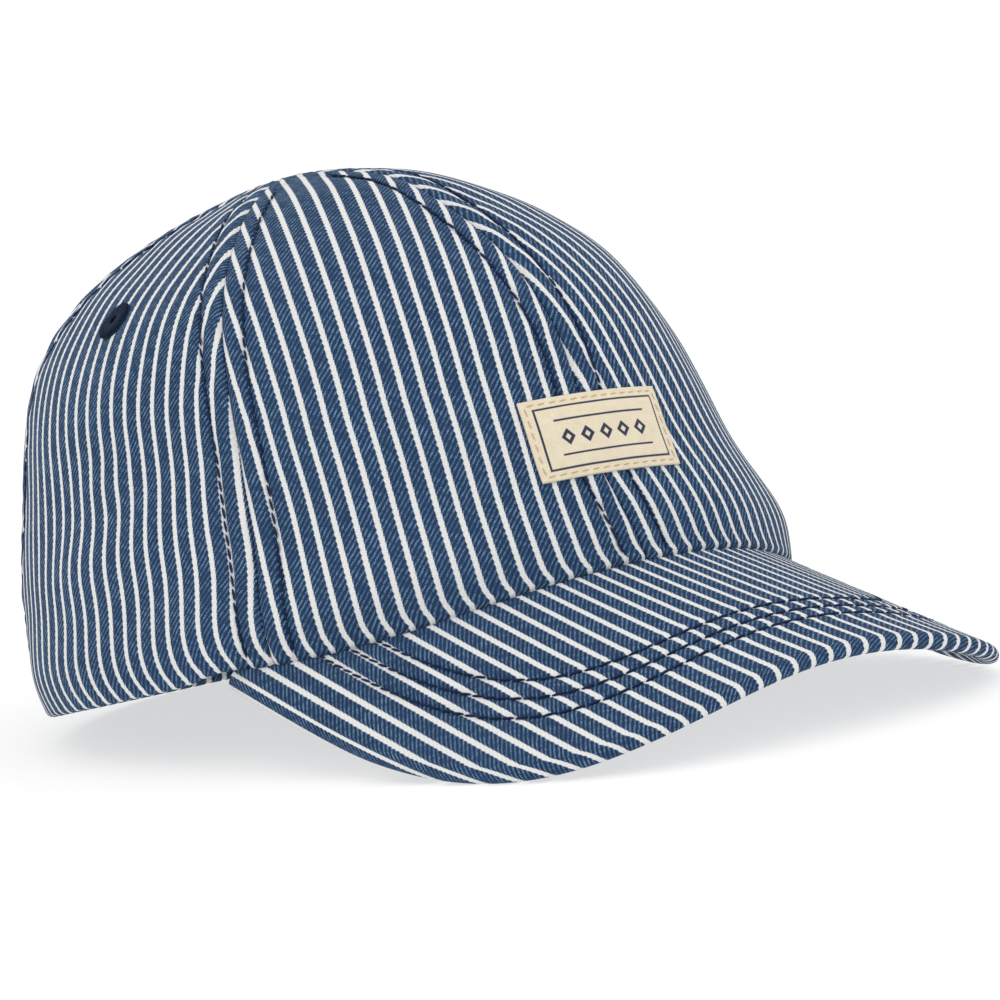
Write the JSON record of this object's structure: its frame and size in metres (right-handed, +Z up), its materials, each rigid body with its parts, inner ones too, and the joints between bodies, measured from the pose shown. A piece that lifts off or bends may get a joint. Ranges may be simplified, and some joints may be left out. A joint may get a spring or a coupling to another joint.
{
  "type": "baseball cap",
  "caption": "Child's soft baseball cap in hickory-striped denim: gored crown, arched peak covered in the same cloth, sewn ventilation eyelets and a plain woven label above the peak.",
  "frame": {"origin": "on the surface that the cap stands on, under the middle of its bounding box", "axes": "+Z up, -Y towards the tip of the peak, +X towards the wearer's left"},
  "size_m": [0.1586, 0.2448, 0.1144],
  "materials": {
    "striped_denim": "matt cotton twill, navy with narrow white stripes",
    "label_cotton": "matt woven cream cotton",
    "navy_thread": "satin stitched navy thread"
  },
  "bodies": {
    "root": {"crown_front_right": "striped_denim", "crown_front_left": "striped_denim", "crown_side_right": "striped_denim", "crown_side_left": "striped_denim", "crown_back_right": "striped_denim", "crown_back_left": "striped_denim", "eyelet_right": "navy_thread", "eyelet_left": "navy_thread", "peak_top_cover": "striped_denim", "peak_under_cover": "striped_denim", "label": "label_cotton"}
  },
  "joints": []
}
